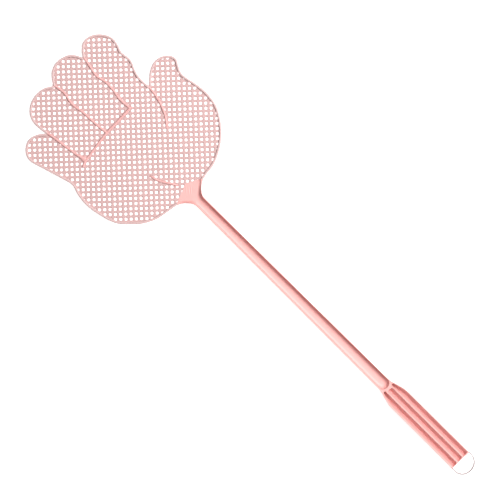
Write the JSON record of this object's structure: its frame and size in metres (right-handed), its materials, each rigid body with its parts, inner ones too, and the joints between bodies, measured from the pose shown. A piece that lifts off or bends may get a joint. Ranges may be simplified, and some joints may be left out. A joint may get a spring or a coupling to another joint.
{
  "type": "fly swatter",
  "caption": "Hand-shaped fly swatter: perforated palm and fingers on a long channel stick, three-trough grip and hanging loop.",
  "frame": {"origin": "on the stick's axis, under the middle of the neck plate, in the plane that the back lies on", "axes": "+X towards the thumb, +Y towards the fingertips, +Z out of the open front"},
  "size_m": [0.1404, 0.4653, 0.008],
  "materials": {
    "mesh_plastic": "satin pink polypropylene, thin bars that let some light through",
    "rim_plastic": "satin pink polypropylene, rounded beads",
    "stick_plastic": "satin pink polypropylene, smooth moulded channel"
  },
  "bodies": {
    "root": {"rim_heel_left": "rim_plastic", "rim_little_finger": "rim_plastic", "rim_ring_finger": "rim_plastic", "rim_middle_finger": "rim_plastic", "rim_index_finger": "rim_plastic", "rim_thumb": "rim_plastic", "rim_heel_right": "rim_plastic", "mesh_little_finger": "mesh_plastic", "mesh_ring_finger": "mesh_plastic", "mesh_middle_finger": "mesh_plastic", "mesh_index_finger": "mesh_plastic", "mesh_thumb": "mesh_plastic", "mesh_palm": "mesh_plastic", "ridge_little_ring": "rim_plastic", "ridge_ring_middle": "rim_plastic", "ridge_middle_index": "rim_plastic", "ridge_finger_bases": "rim_plastic", "ridge_thumb": "rim_plastic", "ridge_wrist": "rim_plastic", "neck_plate": "stick_plastic", "neck_wall_left": "stick_plastic", "neck_wall_right": "stick_plastic", "stick_channel": "stick_plastic", "grip_collar": "stick_plastic", "grip_tray": "stick_plastic", "grip_wall_left": "stick_plastic", "grip_wall_right": "stick_plastic", "grip_rib_left": "stick_plastic", "grip_rib_right": "stick_plastic", "grip_end_wall": "stick_plastic", "hang_loop": "stick_plastic"}
  },
  "joints": []
}
